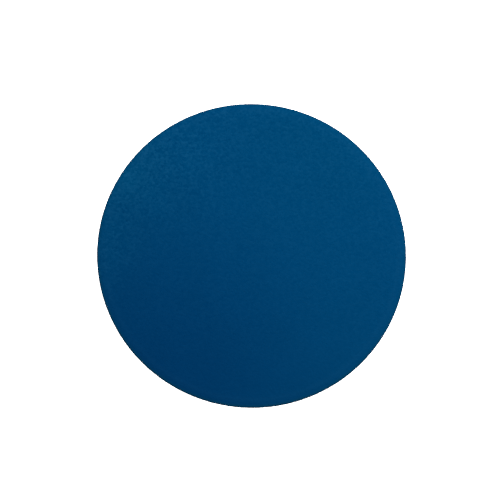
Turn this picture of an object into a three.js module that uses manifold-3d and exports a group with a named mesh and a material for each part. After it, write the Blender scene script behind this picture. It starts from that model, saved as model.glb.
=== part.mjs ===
// A weighted air stone disc for ponds and aquariums.
// A porous stone disc is bonded over a shallow air tray. A base shell is screwed up under the tray and traps
// a steel ballast ring. Four suction cups carry the disc, and leave room under it for a hose elbow that
// swivels in the tray's centre. A poppet over the elbow's mouth keeps water out of the hose.
// Millimetres, +Z up. The origin is the centre of the footprint, on the surface that the disc stands on.
import * as THREE from "three";
import { mergeVertices } from "three/addons/utils/BufferGeometryUtils.js";
import Module from "manifold-3d";

const wasm = await Module();
wasm.setup();

// ---------------------------------------------------------------- driving dimensions
const DISC_R = 50.8; // a nominal 4 inch disc
const CUP_HEIGHT = 9; // floor to the underside of the base shell
const SHELL_HEIGHT = 8.2; // base shell, floor to parting line
const TRAY_HEIGHT = 6.5; // air tray, parting line to rim
const STONE_HEIGHT = 6.5; // the stone's exposed side
const WALL = 2; // moulded wall and floor thickness
const PART_GAP = 0.3; // visible gap at the parting line
const SEAL_GAP = 0.5; // the bond line that the seal ring fills
const TOUCH = 0.05; // air left between two faces that rest on each other
const HOSE_BORE_R = 1.3; // air way through the elbow, for 4 mm bore airline hose

// Segments round the disc, the fittings, the screws and cups, and the smallest holes.
const BIG_ROUND = 72;
const MID_ROUND = 36;
const SMALL_ROUND = 20;
const FINE_ROUND = 12;

// ---------------------------------------------------------------- levels, from the floor up
const SHELL_Z = CUP_HEIGHT;
const SHELL_FLOOR_Z = SHELL_Z + WALL;
const PARTING_Z = SHELL_Z + SHELL_HEIGHT;
const TRAY_Z = PARTING_Z + PART_GAP;
const TRAY_FLOOR_Z = TRAY_Z + WALL;
const TRAY_RIM_Z = TRAY_Z + TRAY_HEIGHT;
const STONE_LEDGE_Z = TRAY_RIM_Z + SEAL_GAP;
const STONE_TOP_Z = STONE_LEDGE_Z + STONE_HEIGHT;

// ---------------------------------------------------------------- radii
const STONE_FOOT_R = DISC_R - 1.4; // the stone's side leans in towards the tray
const SPIGOT_R = DISC_R - 4; // the stone's lower step, inside the tray's rim
const SPIGOT_Z = STONE_LEDGE_Z - 1.8;
const SPIGOT_CLEARANCE = 0.3;
const TRAY_RIM_R = STONE_FOOT_R - 0.4;
const TRAY_FOOT_R = TRAY_RIM_R - 1.1;
const SHELL_RIM_R = TRAY_FOOT_R - 0.3;
const SHELL_FOOT_R = 40;

// ---------------------------------------------------------------- the centre: well, boss, elbow and valve
const WELL_R = 9.5;
const WELL_Z = 14; // floor of the well that holds the valve
const BOSS_R = 7.5;
const BOSS_Z = SHELL_Z + 0.3;
const STEM_R = 4;
const STEM_CLEARANCE = 0.1;
const STEM_TOP_Z = WELL_Z + 2;
const ARM_Z = 4.6; // axis of the hose arm
const ARM_LENGTH = 24;
const VALVE_TRAVEL = 1.5;
const CAGE_PLATE_Z = STEM_TOP_Z + 2.7;

// ---------------------------------------------------------------- fixings
const SCREW_RING_R = 36;
const SCREW_R = 1.45;
const SCREW_HEAD_R = 2.8;
const SCREW_SEAT_Z = SHELL_Z + 2.2;
const SCREW_BOSS_Z = SHELL_Z + 4;
const SCREW_TIP_Z = TRAY_Z + 0.8;
const SCREW_BOSS_R = 5; // on the base shell
const SCREW_POST_R = 3.6; // under the air tray
const CUP_CENTRE = 25; // each cup stands this far from both centre lines
const CUP_R = 10;
const CUP_NECK_R = 2.9;
const CUP_COLLAR_R = 4.6;
const DRAIN_R = 1.5;
const BALLAST_INNER_R = 12;
const BALLAST_OUTER_R = 30;
const BALLAST_Z = SHELL_FLOOR_Z + TOUCH;
const BALLAST_TOP_Z = BALLAST_Z + 5.5;

// ---------------------------------------------------------------- materials
const finish = (color, roughness, metalness = 0) =>
  new THREE.MeshStandardMaterial({ color, roughness, metalness });
const BLUE_STONE = finish(0x01406c, 0.95);
const BLACK_PLASTIC = finish(0x16181b, 0.5);
const BOND_RUBBER = finish(0x0b0d10, 0.7);
const CLEAR_RUBBER = finish(0xb9c4c8, 0.25);
const GREY_PLASTIC = finish(0x9aa0a4, 0.4);
const STEEL = finish(0xb8bbbe, 0.3, 1);
const VALVE_RUBBER = finish(0xc9643c, 0.6);

// ---------------------------------------------------------------- shape helpers
const point = (r, z) => new THREE.Vector2(r, z);

// Spins [radius, height] pairs round +Z. The list runs up the outside, so that the faces point out.
function turned(profile, segments) {
  const points = profile.map(([r, z]) => point(r, z));
  return new THREE.LatheGeometry(points, segments).rotateX(Math.PI / 2);
}

// The same, for a ring: its profile is closed back to its first point.
const turnedRing = (profile, segments) =>
  turned([...profile, profile[0]], segments);

// A closed geometry as a solid that can be added to and cut.
function solid(geometry) {
  const bare = geometry.clone();
  bare.deleteAttribute("normal");
  bare.deleteAttribute("uv");
  const merged = mergeVertices(bare, 1e-4);
  return new wasm.Manifold(
    new wasm.Mesh({
      numProp: 3,
      vertProperties: new Float32Array(merged.attributes.position.array),
      triVerts: new Uint32Array(merged.index.array),
    }),
  );
}

// Such a solid as a geometry again, with its normals.
function geometryOf(shape) {
  const { vertProperties, triVerts } = shape.getMesh();
  const geometry = new THREE.BufferGeometry();
  geometry.setAttribute("position", new THREE.BufferAttribute(vertProperties, 3));
  geometry.setIndex(new THREE.BufferAttribute(triVerts, 1));
  geometry.computeVertexNormals();
  return geometry;
}

const joined = (base, ...added) => added.reduce((all, one) => all.add(solid(one)), base);
const cut = (base, ...tools) => tools.reduce((left, one) => left.subtract(solid(one)), base);

// An upright rod from z0 to z1 at (x, y).
function rod(radius, z0, z1, [x, y] = [0, 0], segments = SMALL_ROUND) {
  return new THREE.CylinderGeometry(radius, radius, z1 - z0, segments)
    .rotateX(Math.PI / 2)
    .translate(x, y, (z0 + z1) / 2);
}

// Count places evenly round a circle, the first at startAngle.
function ringOfPlaces(radius, count, startAngle = 0) {
  return Array.from({ length: count }, (_, i) => {
    const angle = startAngle + (i * 2 * Math.PI) / count;
    return [radius * Math.cos(angle), radius * Math.sin(angle)];
  });
}

// Points along a quadratic curve, as [radius, height] pairs.
function bowed(start, pull, end, steps) {
  const curve = new THREE.QuadraticBezierCurve(point(...start), point(...pull), point(...end));
  return curve.getPoints(steps).map((p) => [p.x, p.y]);
}

function part(name, geometry, material) {
  const mesh = new THREE.Mesh(geometry, material);
  mesh.name = name;
  return mesh;
}

// ---------------------------------------------------------------- places that repeat
const SCREW_PLACES = ringOfPlaces(SCREW_RING_R, 4, -Math.PI / 2);
const SIDES = ["front", "right", "back", "left"];
const CUP_PLACES = ringOfPlaces(CUP_CENTRE * Math.SQRT2, 4, -Math.PI / 4);
const CORNERS = ["front_right", "back_right", "back_left", "front_left"];

// ---------------------------------------------------------------- stone and its seal
function stoneDisc() {
  const shoulder = 2.9; // width of the soft shoulder round the face
  const shoulderDrop = 0.2;
  const edge = 0.8; // radius of the outer corner
  const rimZ = STONE_TOP_Z - shoulderDrop;
  const rim = bowed([DISC_R, rimZ - edge], [DISC_R, rimZ], [DISC_R - edge, rimZ], 4);
  return turned(
    [
      [0, SPIGOT_Z],
      [SPIGOT_R, SPIGOT_Z],
      [SPIGOT_R, STONE_LEDGE_Z],
      [STONE_FOOT_R, STONE_LEDGE_Z],
      ...rim,
      [DISC_R - shoulder, STONE_TOP_Z],
      [0, STONE_TOP_Z],
    ],
    BIG_ROUND,
  );
}

function sealRing() {
  const inner = SPIGOT_R + SPIGOT_CLEARANCE + 0.1;
  const outer = TRAY_RIM_R - 0.1;
  const low = TRAY_RIM_Z + TOUCH;
  const high = STONE_LEDGE_Z - TOUCH;
  return turnedRing([[inner, low], [outer, low], [outer, high], [inner, high]], BIG_ROUND);
}

// ---------------------------------------------------------------- air tray
// A shallow pan under the stone, with a central well and a boss for the elbow. Posts on its floor hold the
// stone up, and pegs under it hold the ballast down.
function airTray() {
  const spigotWall = SPIGOT_R + SPIGOT_CLEARANCE;
  const ledgeZ = SPIGOT_Z - 0.1;
  const chamberR = SPIGOT_R - 0.8; // leaves a narrow ledge under the stone
  const wellOuterR = WELL_R + WALL;
  const wellBottomZ = WELL_Z - WALL;
  const boreR = STEM_R + STEM_CLEARANCE;
  const pan = turnedRing(
    [
      [boreR, BOSS_Z],
      [BOSS_R, BOSS_Z],
      [BOSS_R, wellBottomZ],
      [wellOuterR, wellBottomZ],
      [wellOuterR, TRAY_Z],
      [TRAY_FOOT_R, TRAY_Z],
      [TRAY_RIM_R, TRAY_RIM_Z],
      [spigotWall, TRAY_RIM_Z],
      [spigotWall, ledgeZ],
      [chamberR, ledgeZ],
      [chamberR, TRAY_FLOOR_Z],
      [WELL_R, TRAY_FLOOR_Z],
      [WELL_R, WELL_Z],
      [boreR, WELL_Z],
    ],
    BIG_ROUND,
  );

  const overlap = 0.5; // how far an added shape reaches into the pan's floor
  const postR = 1.5;
  const innerPlaces = ringOfPlaces(22, 6);
  const outerPlaces = ringOfPlaces(37, 10);
  const posts = [...innerPlaces, ...outerPlaces].map((place) =>
    rod(postR, TRAY_FLOOR_Z - overlap, ledgeZ, place, FINE_ROUND),
  );
  const pegs = innerPlaces.map((place) =>
    rod(postR, BALLAST_TOP_Z + TOUCH, TRAY_Z + overlap, place, FINE_ROUND),
  );

  const ringOuter = SHELL_RIM_R - WALL - 1; // a low ring that centres the tray in the base shell
  const ringInner = ringOuter - 1.5;
  const ringZ = PARTING_Z - 1.7;
  const locatingRing = turnedRing(
    [
      [ringInner, ringZ],
      [ringOuter, ringZ],
      [ringOuter, TRAY_Z + overlap],
      [ringInner, TRAY_Z + overlap],
    ],
    BIG_ROUND,
  );

  const screwPosts = SCREW_PLACES.map((place) =>
    rod(SCREW_POST_R, SCREW_BOSS_Z + 0.2, TRAY_Z + overlap, place),
  );
  const screwHoles = SCREW_PLACES.map((place) =>
    rod(SCREW_R + 0.1, SCREW_BOSS_Z, SCREW_TIP_Z + 0.3, place),
  );
  return geometryOf(cut(joined(solid(pan), ...posts, ...pegs, locatingRing, ...screwPosts), ...screwHoles));
}

// ---------------------------------------------------------------- base shell and ballast
// A bowl with sunk screw heads, a socket for each cup and drain holes, so that water fills it and it sinks.
function baseShell() {
  const centreHoleR = BOSS_R + 0.5;
  const innerFootR = SHELL_FOOT_R - 0.5;
  const outside = bowed([SHELL_FOOT_R, SHELL_Z], [46.2, SHELL_Z + 0.8], [SHELL_RIM_R, PARTING_Z], 5);
  const inside = bowed(
    [SHELL_RIM_R - WALL, PARTING_Z],
    [44.2, SHELL_FLOOR_Z + 0.6],
    [innerFootR, SHELL_FLOOR_Z],
    3,
  );
  const bowl = turnedRing(
    [[centreHoleR, SHELL_Z], ...outside, ...inside, [centreHoleR, SHELL_FLOOR_Z]],
    BIG_ROUND,
  );
  const below = SHELL_Z - 1;
  const bosses = SCREW_PLACES.map((place) => rod(SCREW_BOSS_R, SHELL_Z + 0.5, SCREW_BOSS_Z, place));
  const screwHoles = SCREW_PLACES.map((place) => rod(SCREW_R + 0.15, below, SCREW_BOSS_Z + 1, place));
  const screwSeats = SCREW_PLACES.map((place) => rod(SCREW_HEAD_R + 0.4, below, SCREW_SEAT_Z, place));
  const sockets = CUP_PLACES.map((place) => rod(CUP_NECK_R + 0.3, below, SHELL_FLOOR_Z + 1, place));
  const drains = ringOfPlaces(SHELL_FOOT_R - 3, 8, Math.PI / 8).map((place) =>
    rod(DRAIN_R, below, SHELL_FLOOR_Z + 1, place, FINE_ROUND),
  );
  return geometryOf(cut(joined(solid(bowl), ...bosses), ...screwHoles, ...screwSeats, ...sockets, ...drains));
}

function ballastRing() {
  const chamfer = 0.5;
  return turnedRing(
    [
      [BALLAST_INNER_R, BALLAST_Z],
      [BALLAST_OUTER_R - chamfer, BALLAST_Z],
      [BALLAST_OUTER_R, BALLAST_Z + chamfer],
      [BALLAST_OUTER_R, BALLAST_TOP_Z - chamfer],
      [BALLAST_OUTER_R - chamfer, BALLAST_TOP_Z],
      [BALLAST_INNER_R, BALLAST_TOP_Z],
    ],
    MID_ROUND,
  );
}

// ---------------------------------------------------------------- screws and suction cups
// A pan head screw, head down, with a cross recess. Its thread is left plain.
function shellScrew() {
  const headZ = SCREW_SEAT_Z - 1.8;
  const blank = turned(
    [
      [0, headZ],
      [SCREW_HEAD_R - 0.9, headZ],
      [SCREW_HEAD_R, headZ + 0.8],
      [SCREW_HEAD_R, SCREW_SEAT_Z - TOUCH],
      [SCREW_R, SCREW_SEAT_Z - TOUCH],
      [SCREW_R, SCREW_TIP_Z - 1.2],
      [0, SCREW_TIP_Z],
    ],
    SMALL_ROUND,
  );
  const slotLength = 3;
  const slotWidth = 0.7;
  const slotDepth = 1;
  const slots = [0, Math.PI / 2].map((turn) =>
    new THREE.BoxGeometry(slotLength, slotWidth, 2 * slotDepth).rotateZ(turn).translate(0, 0, headZ),
  );
  return geometryOf(cut(solid(blank), ...slots));
}

// A soft cup: a thin flat lip, a domed hollow, a collar under the shell and a bulb that snaps through it.
function suctionCup() {
  const lipInner = CUP_R - 1.6;
  const bulbZ = SHELL_FLOOR_Z + 0.2;
  return turned(
    [
      [0, 2.8],
      ...bowed([2.5, 2.7], [6.2, 2.3], [lipInner, 0], 3),
      [CUP_R - 0.3, 0],
      [CUP_R, 0.3],
      ...bowed([CUP_R - 0.6, 0.9], [4.6, 3], [3.4, 6], 4),
      [CUP_COLLAR_R, 6.8],
      [CUP_COLLAR_R, SHELL_Z - 0.1],
      [CUP_NECK_R, SHELL_Z - 0.1],
      [CUP_NECK_R, bulbZ],
      ...bowed([4.3, bulbZ], [4.2, bulbZ + 2], [0, bulbZ + 2.2], 3),
    ],
    SMALL_ROUND,
  );
}

// ---------------------------------------------------------------- swivelling hose elbow
const ELBOW_FLANGE_Z = BOSS_Z - 0.2;
const ORING_Z = BOSS_Z + 2.3;
const ORING_THICKNESS = 1.16;
const GROOVE_DEPTH = 1.15;
const CLIP_Z = WELL_Z + 0.2;
const CLIP_THICKNESS = 0.6;

// The upright stem turns in the tray's boss, and the barbed arm takes the hose.
function hoseElbow() {
  const grooveR = STEM_R - GROOVE_DEPTH;
  const oringRoom = ORING_THICKNESS / 2 + 0.12;
  const clipRoom = 0.06;
  const flangeR = 6.8;
  const flangeUnderZ = ELBOW_FLANGE_Z - 1.3;
  const stem = turned(
    [
      [0, ARM_Z - 3.2],
      [2.6, ARM_Z - 3.2],
      [4.2, ARM_Z - 1.6],
      [4.4, flangeUnderZ],
      [flangeR, flangeUnderZ],
      [flangeR, ELBOW_FLANGE_Z],
      [STEM_R, ELBOW_FLANGE_Z],
      [STEM_R, ORING_Z - oringRoom],
      [grooveR, ORING_Z - oringRoom],
      [grooveR, ORING_Z + oringRoom],
      [STEM_R, ORING_Z + oringRoom],
      [STEM_R, CLIP_Z - clipRoom],
      [grooveR, CLIP_Z - clipRoom],
      [grooveR, CLIP_Z + CLIP_THICKNESS + clipRoom],
      [STEM_R, CLIP_Z + CLIP_THICKNESS + clipRoom],
      [STEM_R, STEM_TOP_Z - 0.3],
      [STEM_R - 0.3, STEM_TOP_Z],
      [0, STEM_TOP_Z],
    ],
    MID_ROUND,
  );

  const armR = 2.9;
  const collarR = 3.1; // the stop that the hose is pushed up to
  const barbs = 4;
  const barbPitch = 3;
  const barbRoot = 2.05;
  const barbPeak = 2.65;
  const barbStart = ARM_LENGTH - barbs * barbPitch;
  const armProfile = [
    [0, 0],
    [armR, 0],
    [armR, barbStart - 2],
    [collarR, barbStart - 2],
    [collarR, barbStart - 0.8],
    [barbRoot, barbStart - 0.8],
  ];
  for (let i = 0; i < barbs; i++) {
    const at = barbStart + i * barbPitch;
    armProfile.push([barbRoot, at], [barbPeak, at + 0.05], [barbPeak, at + 0.35]);
  }
  armProfile.push([barbRoot - 0.1, ARM_LENGTH], [0, ARM_LENGTH]);
  const aimArm = (geometry) => geometry.rotateX(Math.PI / 2).translate(0, 0, ARM_Z);
  const arm = aimArm(turned(armProfile, SMALL_ROUND));
  const armBore = aimArm(rod(HOSE_BORE_R, 0, ARM_LENGTH + 1, [0, 0], FINE_ROUND));
  const stemBore = rod(HOSE_BORE_R, ARM_Z, STEM_TOP_Z + 1, [0, 0], FINE_ROUND);
  return geometryOf(cut(joined(solid(stem), arm), armBore, stemBore));
}

function elbowORing() {
  const centreR = STEM_R - GROOVE_DEPTH + TOUCH + ORING_THICKNESS / 2;
  return new THREE.TorusGeometry(centreR, ORING_THICKNESS / 2, 8, MID_ROUND).translate(0, 0, ORING_Z);
}

// An open spring clip in the stem's upper groove, which keeps the elbow in the boss.
function elbowClip() {
  const halfGap = Math.PI / 6;
  const start = Math.PI / 2 + halfGap;
  const end = (5 * Math.PI) / 2 - halfGap;
  const ring = new THREE.Shape();
  ring.absarc(0, 0, STEM_R + 2.2, start, end, false);
  ring.absarc(0, 0, STEM_R - 1, end, start, true);
  const options = { depth: CLIP_THICKNESS, bevelEnabled: false, curveSegments: SMALL_ROUND };
  return new THREE.ExtrudeGeometry(ring, options).translate(0, 0, CLIP_Z);
}

// ---------------------------------------------------------------- check valve
const PIN_R = 0.95; // the poppet's guide pin

// A cup pressed into the well. Its plate guides the poppet, stops its lift and lets the air through.
function valveCage() {
  const outer = WELL_R - 0.3;
  const inner = outer - 1.2;
  const flangeR = WELL_R + 2;
  const flangeZ = TRAY_FLOOR_Z + TOUCH;
  const flangeTop = flangeZ + 0.8;
  const plateTop = CAGE_PLATE_Z + 1.3;
  const cup = turned(
    [
      [0, CAGE_PLATE_Z],
      [inner, CAGE_PLATE_Z],
      [inner, WELL_Z + TOUCH],
      [outer, WELL_Z + TOUCH],
      [outer, flangeZ],
      [flangeR, flangeZ],
      [flangeR, flangeTop],
      [inner, flangeTop],
      [inner, plateTop],
      [0, plateTop],
    ],
    MID_ROUND,
  );
  const guideHole = rod(PIN_R + 0.1, CAGE_PLATE_Z - 1, plateTop + 1, [0, 0], FINE_ROUND);
  const airHoles = ringOfPlaces(inner * 0.6, 6).map((place) =>
    rod(HOSE_BORE_R, CAGE_PLATE_Z - 1, plateTop + 1, place, FINE_ROUND),
  );
  return geometryOf(cut(solid(cup), guideHole, ...airHoles));
}

// A soft disc over the stem's mouth, with a guide pin. Air lifts it by VALVE_TRAVEL.
function valvePoppet() {
  const discR = STEM_R - 0.6;
  const discZ = STEM_TOP_Z + TOUCH;
  const discTop = CAGE_PLATE_Z - VALVE_TRAVEL - 0.1;
  const pinTop = SPIGOT_Z - VALVE_TRAVEL - 0.3;
  return turned(
    [
      [0, discZ],
      [discR, discZ],
      [discR, discTop - 0.2],
      [discR - 0.2, discTop],
      [PIN_R, discTop],
      [PIN_R, pinTop - 0.3],
      [PIN_R - 0.3, pinTop],
      [0, pinTop],
    ],
    SMALL_ROUND,
  );
}

// ---------------------------------------------------------------- assembly
const housing = new THREE.Group();
housing.add(
  part("stone_disc", stoneDisc(), BLUE_STONE),
  part("seal_ring", sealRing(), BOND_RUBBER),
  part("air_tray", airTray(), BLACK_PLASTIC),
  part("base_shell", baseShell(), BLACK_PLASTIC),
  part("ballast_ring", ballastRing(), STEEL),
  part("valve_cage", valveCage(), GREY_PLASTIC),
);

SCREW_PLACES.forEach(([x, y], i) => {
  const screw = part(`shell_screw_${SIDES[i]}`, shellScrew(), STEEL);
  screw.position.set(x, y, 0);
  housing.add(screw);
});

CUP_PLACES.forEach(([x, y], i) => {
  const cup = part(`suction_cup_${CORNERS[i]}`, suctionCup(), CLEAR_RUBBER);
  cup.position.set(x, y, 0);
  housing.add(cup);
});

const swivel = new THREE.Group();
swivel.add(
  part("hose_elbow", hoseElbow(), GREY_PLASTIC),
  part("elbow_o_ring", elbowORing(), BOND_RUBBER),
  part("elbow_clip", elbowClip(), STEEL),
);

const valve = new THREE.Group();
valve.add(part("valve_poppet", valvePoppet(), VALVE_RUBBER));

const airStone = new THREE.Group();
airStone.add(housing, swivel, valve);

export default airStone;
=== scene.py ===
"""Looks for the air stone disc: a blue bonded-mineral disc on a weighted black base, over suction cups.

Sizes in the helpers are millimetres. Objects are built in metres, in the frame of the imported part.
"""

import math

import bpy
import numpy as np
from mathutils import Matrix, Vector


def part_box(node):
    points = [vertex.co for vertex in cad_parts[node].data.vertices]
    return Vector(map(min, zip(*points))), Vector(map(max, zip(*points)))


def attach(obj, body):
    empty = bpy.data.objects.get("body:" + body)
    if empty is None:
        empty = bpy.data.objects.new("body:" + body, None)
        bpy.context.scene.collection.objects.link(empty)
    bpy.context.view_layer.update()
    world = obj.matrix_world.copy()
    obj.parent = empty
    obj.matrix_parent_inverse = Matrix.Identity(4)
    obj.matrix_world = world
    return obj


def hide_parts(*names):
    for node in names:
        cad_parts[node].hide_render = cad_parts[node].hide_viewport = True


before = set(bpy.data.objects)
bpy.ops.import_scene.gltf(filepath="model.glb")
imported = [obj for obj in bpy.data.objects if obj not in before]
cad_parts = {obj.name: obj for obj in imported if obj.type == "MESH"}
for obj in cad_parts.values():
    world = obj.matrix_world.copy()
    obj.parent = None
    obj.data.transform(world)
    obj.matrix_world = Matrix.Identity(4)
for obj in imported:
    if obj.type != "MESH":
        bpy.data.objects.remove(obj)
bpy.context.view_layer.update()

MM = 0.001
TAU = 2 * math.pi
EPS = 1e-6


def box_mm(node):
    """The CAD node's lowest and highest corner, in millimetres."""
    low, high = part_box(node)
    return low / MM, high / MM


# ---------------------------------------------------------------- boxes of the nodes, in millimetres
STONE_LOW, STONE_HIGH = box_mm("stone_disc")
SEAL_LOW, SEAL_HIGH = box_mm("seal_ring")
TRAY_LOW, TRAY_HIGH = box_mm("air_tray")
SHELL_LOW, SHELL_HIGH = box_mm("base_shell")
BALLAST_LOW, BALLAST_HIGH = box_mm("ballast_ring")
CAGE_LOW, CAGE_HIGH = box_mm("valve_cage")
CUP_LOW, CUP_HIGH = box_mm("suction_cup_front_right")
SCREW_LOW, SCREW_HIGH = box_mm("shell_screw_front")
ELBOW_LOW, ELBOW_HIGH = box_mm("hose_elbow")
CLIP_LOW, CLIP_HIGH = box_mm("elbow_clip")
POPPET_LOW, POPPET_HIGH = box_mm("valve_poppet")
RING_LOW, RING_HIGH = box_mm("elbow_o_ring")

# ---------------------------------------------------------------- driving dimensions, in millimetres
WALL = 2
PART_GAP = 0.3  # visible gap at the parting line
TOUCH = 0.05  # air left between two faces that rest on each other
OVERLAP = 0.5  # how far an added shape reaches into the one it joins

DISC_R = STONE_HIGH.x
STONE_TOP = STONE_HIGH.z
STONE_LEDGE = SEAL_HIGH.z + TOUCH
STONE_FOOT_R = DISC_R - 1.4
SPIGOT_R = DISC_R - 4
SHOULDER = 2.9  # width of the band in which the face drops to the rim
SHOULDER_DROP = 0.2
CORNER_R = 0.8
GRAIN = 0.4  # pitch of the stone's surface points
GRAIN_DEPTH = 0.05
GRAIN_PROUD = 0.35  # how far a grain stands out, as a share of how far it may sink
PORE_SHARE = 0.03  # share of the surface points that sink into a pore
PORE_DEPTH = 1.5  # how much deeper a pore goes, in the same share
WALL_GRAIN = 2.0  # the side is rougher than the face by this share

TRAY_RIM_R = TRAY_HIGH.x
TRAY_RIM_Z = TRAY_HIGH.z
TRAY_FOOT_R = TRAY_RIM_R - 1.1
TRAY_Z = SHELL_HIGH.z + PART_GAP
TRAY_FLOOR_Z = TRAY_Z + WALL
STONE_REST_Z = STONE_LOW.z - 0.1  # the ledge and posts under the stone
POST_R = 1.5
INNER_POSTS = (22, 6)  # radius of the ring and number of posts
OUTER_POSTS = (37, 10)
LOCATING_DEPTH = 1.7  # how far the tray's locating ring reaches down into the shell
WELL_R = 9.5
WELL_Z = CAGE_LOW.z - TOUCH
BOSS_R = 7.5
BOSS_Z = TRAY_LOW.z

SHELL_RIM_R = SHELL_HIGH.x
SHELL_FOOT_R = 40
SHELL_BELLY_R = SHELL_FOOT_R + 6.2  # where the bowl's floor and side would meet in a corner
SHELL_Z = SHELL_LOW.z
SHELL_FLOOR_Z = SHELL_Z + WALL
SHELL_HOLE_R = BOSS_R + 0.5
DRAINS = (SHELL_FOOT_R - 3, 8)
DRAIN_R = 1.5

SCREW_RING_R = -(SCREW_LOW.y + SCREW_HIGH.y) / 2
SCREW_HEAD_R = (SCREW_HIGH.x - SCREW_LOW.x) / 2
SCREW_R = 1.45
SCREW_SEAT_Z = SHELL_Z + 2.2
SCREW_BOSS_Z = SHELL_Z + 4
SCREW_BOSS_R = 5  # on the base shell
SCREW_POST_R = 3.6  # under the air tray
SCREW_HEAD_HEIGHT = 1.8
THREAD_PITCH = 0.6
THREAD_DEPTH = 0.25
CUP_R = (CUP_HIGH.x - CUP_LOW.x) / 2
CUP_RING_R = math.sqrt(2) * (CUP_HIGH.x + CUP_LOW.x) / 2
CUP_NECK_R = 2.9
CUP_COLLAR_R = 4.6
CUP_WAIST_R = 3.4  # between the lip and the collar
CUP_WAIST_Z = 6
CUP_HOLLOW_Z = 2.8  # top of the hollow under the cup

BALLAST_INNER_R = 12
BALLAST_OUTER_R = BALLAST_HIGH.x

STEM_R = 4
STEM_BORE_R = STEM_R + 0.1
STEM_GROOVE_R = STEM_R - 1.15
AIR_BORE_R = 1.3
ARM_DROP = 3.2  # from the arm's axis down to the elbow's foot
ARM_Z = ELBOW_LOW.z + ARM_DROP
ARM_R = 2.9
ARM_LENGTH = -ELBOW_LOW.y
BARBS = 4
BARB_PITCH = 3
BARB_ROOT = 2.05
BARB_PEAK = 2.65
CLIP_GAP = math.radians(60)  # the angle that the clip leaves open
CAGE_PLATE_Z = ELBOW_HIGH.z + 2.7
VALVE_TRAVEL = 1.5
PIN_R = 0.95  # the poppet's guide pin

ROUND = 256  # segments round the disc
CUP_ROUND = 96
SMALL_ROUND = 64
FINE_ROUND = 32
OFF_LINE = 0.03  # turns added and cut shapes a little, so that their edges don't run along other edges
SIDES = ("front", "right", "back", "left")
CORNERS = ("front_right", "back_right", "back_left", "front_left")

# ---------------------------------------------------------------- colours and textures, in millimetres
STONE_BLUE = (0.0004, 0.0416, 0.1175, 1)
# Painted shade: the darker blue that the face fades to at its front left.
STONE_PAINTED_SHADE = (0.0003, 0.0312, 0.1020, 1)
# Painted shade: a duller blue that dims the face's back right, where the lamp is nearest.
STONE_LAMP_SHADE = (0.0004, 0.0408, 0.1090, 1)
# Painted sheen: the paler, tealer blue of a soft highlight at the face's back left.
STONE_SHEEN = (0.0012, 0.0515, 0.1300, 1)
# Painted shade: the darker, greyer blue of the rounded corner, where it turns away from the light.
STONE_CORNER_SHADE = (0.0018, 0.0385, 0.0880, 1)
STONE_SHOULDER_RING = (0.0006, 0.0018, 0.0028, 1)  # what the paler ring on the shoulder adds
STONE_GLINT = (0.0007, 0.0034, 0.0058, 1)  # what a pale grain adds, and a dark one takes away
STONE_CELL = 0.7  # size of the stone's coloured grains
STONE_SPECKLE = 0.9
STONE_CLOUD = 15
FRONT_CONTRAST = 0.2  # how much the grain stands out at the face's front, at its back and on the side
BACK_CONTRAST = 1.2
SIDE_CONTRAST = 1.6
# Painted shade at the face's front left:
SHADE_PATCH = (-28, -50, 80, 5)  # x, y, the radius where the patch fades out, the radius where it is full
# Painted shade at the face's back right, under the lamp:
LAMP_SHADE_PATCH = (26, 58, 66, 8)
# Painted sheen at the face's back left: the same, then how pale the painted sheen makes the patch and how
# much its grain stands out.
SHEEN_PATCHES = ((-42, 32, 40, 8, 0.36, 1.0), (-58, -3, 26, 10, 0.3, 0.8), (-47, 25, 20, 4, 0.55, 0.0))
HOUSING_BLACK = (0.012, 0.014, 0.017, 1)
FITTING_GREY = (0.20, 0.22, 0.235, 1)
BOND_BLACK = (0.006, 0.007, 0.009, 1)
CUP_CLEAR = (0.86, 0.92, 0.94, 1)
CUP_HAZY = (0.78, 0.86, 0.90, 1)
VALVE_ORANGE = (0.42, 0.10, 0.045, 1)
SCREW_STEEL = (0.58, 0.58, 0.60, 1)
BALLAST_STEEL = (0.20, 0.205, 0.21, 1)
PAPER_WHITE = (0.85, 0.85, 0.85, 1)
WHITE = (1, 1, 1, 1)

# ---------------------------------------------------------------- lights and camera
WORLD_LIGHT = 0.6
BACKDROP_LIGHT = 1.0  # the world as the camera sees it
FLOOR_SIZE = 8  # metres
FLOOR_DROP = 0.05  # millimetres under the cups
FLOOR_GLOW = 0.42
FLOOR_BURN = 1.5  # more glow that the camera sees from straight above
FLOOR_LIFT = 0.09  # more glow that only the camera sees, so that the far floor meets the backdrop
KEY_POWER = 1.3
KEY_TURN = 62  # degrees from +X
KEY_RISE = 45
KEY_DISTANCE = 0.27  # metres from the disc, as is the size
KEY_SIZE = 0.2
CAMERA_LENS = 85
CAMERA_SENSOR = 36
CAMERA_LEAN = 10.9  # degrees, as is the roll
CAMERA_ROLL = 6.7
DISC_SHARE = 0.6204  # the disc's width as a share of the picture's
OFFSET_RIGHT = 0.0041  # shares of the picture's width
OFFSET_DOWN = 0.0034

random = np.random.RandomState(11)


# ---------------------------------------------------------------- shapes: (list of points, list of faces)
def rounded(corners, closed=False):
    """Profile points. Each corner is (radius, height, fillet), and is softened by a quadratic curve."""
    steps = 4
    points = []
    last = len(corners) - 1
    for i, (r, z, fillet) in enumerate(corners):
        here = Vector((r, z))
        if fillet == 0 or (not closed and i in (0, last)):
            points.append(here)
            continue
        before = Vector(corners[i - 1][:2]) - here
        after = Vector(corners[(i + 1) % len(corners)][:2]) - here
        reach = min(fillet, 0.45 * before.length, 0.45 * after.length)
        start = here + reach * before.normalized()
        end = here + reach * after.normalized()
        for step in range(steps + 1):
            t = step / steps
            points.append(start.lerp(here, t).lerp(here.lerp(end, t), t))
    return points


def bowed(start, pull, end, steps):
    """Points along a quadratic curve, as corners with no fillet."""
    a, b, c = Vector(start), Vector(pull), Vector(end)
    curve = [a.lerp(b, s / steps).lerp(b.lerp(c, s / steps), s / steps) for s in range(steps + 1)]
    return [(p.x, p.y, 0) for p in curve]


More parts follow.
